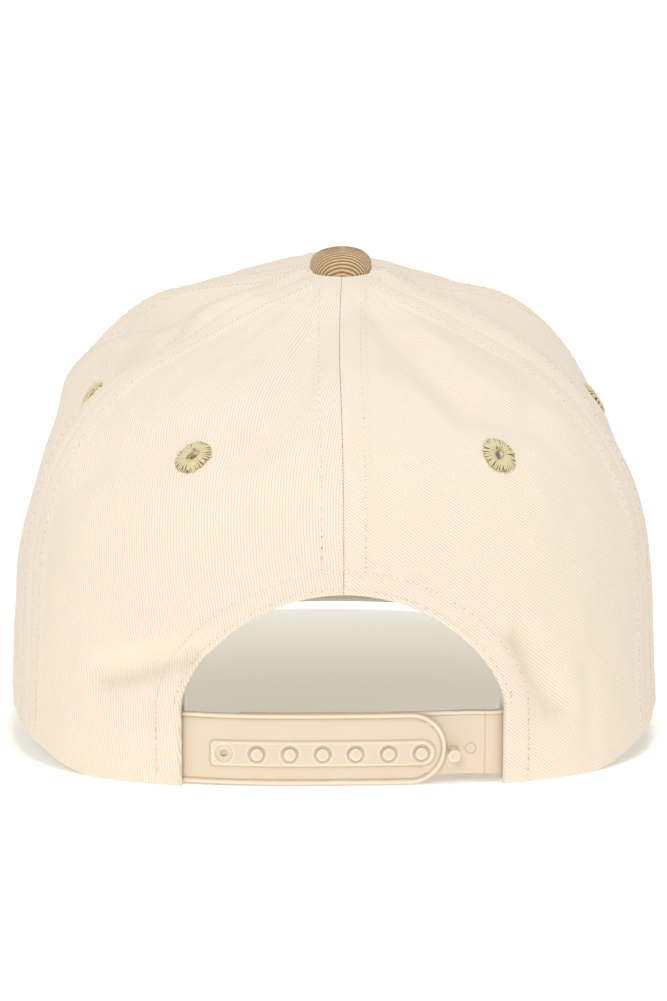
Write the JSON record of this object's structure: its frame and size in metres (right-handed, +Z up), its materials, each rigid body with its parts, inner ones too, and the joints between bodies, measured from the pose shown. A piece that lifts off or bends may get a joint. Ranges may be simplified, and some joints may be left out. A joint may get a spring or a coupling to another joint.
{
  "type": "snapback cap",
  "caption": "Structured cotton cap with a curved peak, stitched eyelets, a covered button and a snap strap across the arched back opening.",
  "frame": {"origin": "middle of the footprint, on the surface that the cap rests on", "axes": "+Z up, +Y towards the strap at the back, -Y along the peak, +X to the wearer's left"},
  "size_m": [0.1794, 0.2434, 0.1344],
  "materials": {
    "cloth": "cream cotton twill",
    "thread": "khaki embroidery thread",
    "peak_cloth": "brown melange cotton",
    "band_cloth": "cream cotton sweatband",
    "strap_plastic": "satin cream plastic"
  },
  "bodies": {
    "root": {"panel_back_left": "cloth", "panel_side_left": "cloth", "panel_front_left": "cloth", "panel_front_right": "cloth", "panel_side_right": "cloth", "panel_back_right": "cloth", "eyelet_back_left": "thread", "eyelet_side_left": "thread", "eyelet_front_left": "thread", "eyelet_front_right": "thread", "eyelet_side_right": "thread", "eyelet_back_right": "thread", "button": "peak_cloth", "peak": "peak_cloth", "sweatband": "band_cloth", "strap_holes": "strap_plastic", "strap_pegs": "strap_plastic"}
  },
  "joints": []
}
